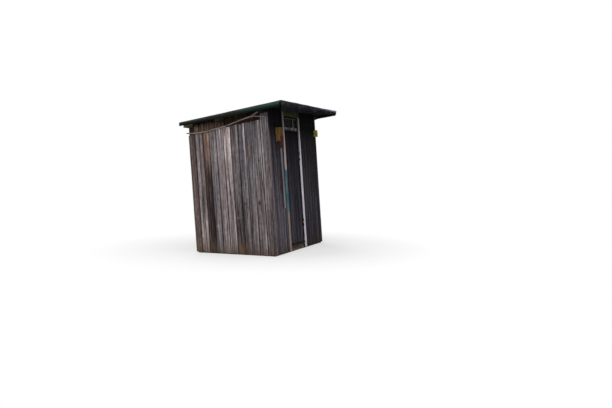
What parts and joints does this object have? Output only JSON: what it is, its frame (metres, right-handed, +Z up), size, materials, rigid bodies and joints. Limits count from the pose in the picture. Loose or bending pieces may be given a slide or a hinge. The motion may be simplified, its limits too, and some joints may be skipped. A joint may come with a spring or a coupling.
{
  "type": "wooden outhouse",
  "caption": "Small leaning timber outhouse with vertical planking, a single-pitch felt roof, a plank door under a transom window and a crooked pole along one side.",
  "frame": {"origin": "on the ground, under the middle of the roof's plan", "axes": "+Z up; the door faces -Y, +X is to the right seen from the front, and the building leans back towards +Y"},
  "size_m": [2.5, 1.7504, 2.37],
  "materials": {
    "frame_timber": "rough sawn, weathered",
    "floor_boards": "worn planks",
    "side_boards": "weathered silver-grey planks",
    "front_boards": "dark weathered planks",
    "door_boards": "dark weathered planks",
    "gable_boards": "brown planks under the eaves",
    "casing_paint": "worn white and blue-green paint",
    "head_wood": "bare yellowish wood",
    "window_glass": "dusty clear",
    "roof_boards": "rough planks",
    "roof_felt": "matte mineral felt",
    "green_paint": "old dark green paint",
    "pole_wood": "barked dry stick",
    "iron": "rusty",
    "grey_batten": "weathered",
    "yellow_paint": "worn yellow paint",
    "red_paint": "faded red paint"
  },
  "bodies": {
    "hut": {"front_sill": "frame_timber", "rear_sill": "frame_timber", "side_sills": "frame_timber", "front_posts": "frame_timber", "rear_posts": "frame_timber", "door_posts": "frame_timber", "front_plate": "frame_timber", "middle_purlin": "frame_timber", "rear_plate": "frame_timber", "side_top_rails": "frame_timber", "wall_rails": "frame_timber", "transom_bar": "frame_timber", "door_stop": "frame_timber", "floor": "floor_boards", "threshold": "floor_boards", "left_wall": "side_boards", "right_wall": "side_boards", "rear_wall": "side_boards", "corner_boards": "side_boards", "front_wall_left": "front_boards", "front_wall_right": "front_boards", "front_wall_over_door": "front_boards", "left_gable_boards": "gable_boards", "right_gable_boards": "gable_boards", "left_casing": "casing_paint", "right_casing": "casing_paint", "door_head": "head_wood", "window_frame": "head_wood", "window_glass": "window_glass", "roof_boards": "roof_boards", "roof_felt": "roof_felt", "felt_fold": "roof_felt", "left_fascia": "green_paint", "right_fascia": "green_paint", "side_pole": "pole_wood", "pole_nails": "iron", "hinge_frame_plates": "iron", "wall_batten": "grey_batten", "yellow_box": "yellow_paint", "yellow_block": "yellow_paint", "red_plate": "red_paint"},
    "door": {"door_boards": "door_boards", "door_ledges": "frame_timber", "hinge_door_plates": "iron", "door_handle": "iron"}
  },
  "joints": [
    {"name": "door_hinge", "type": "hinge", "parent": "hut", "child": "door", "pos_m": [0.168, -0.61818, 0.98703], "axis": [0, 0.0698, 0.9976], "range_deg": [0, 100]}
  ]
}
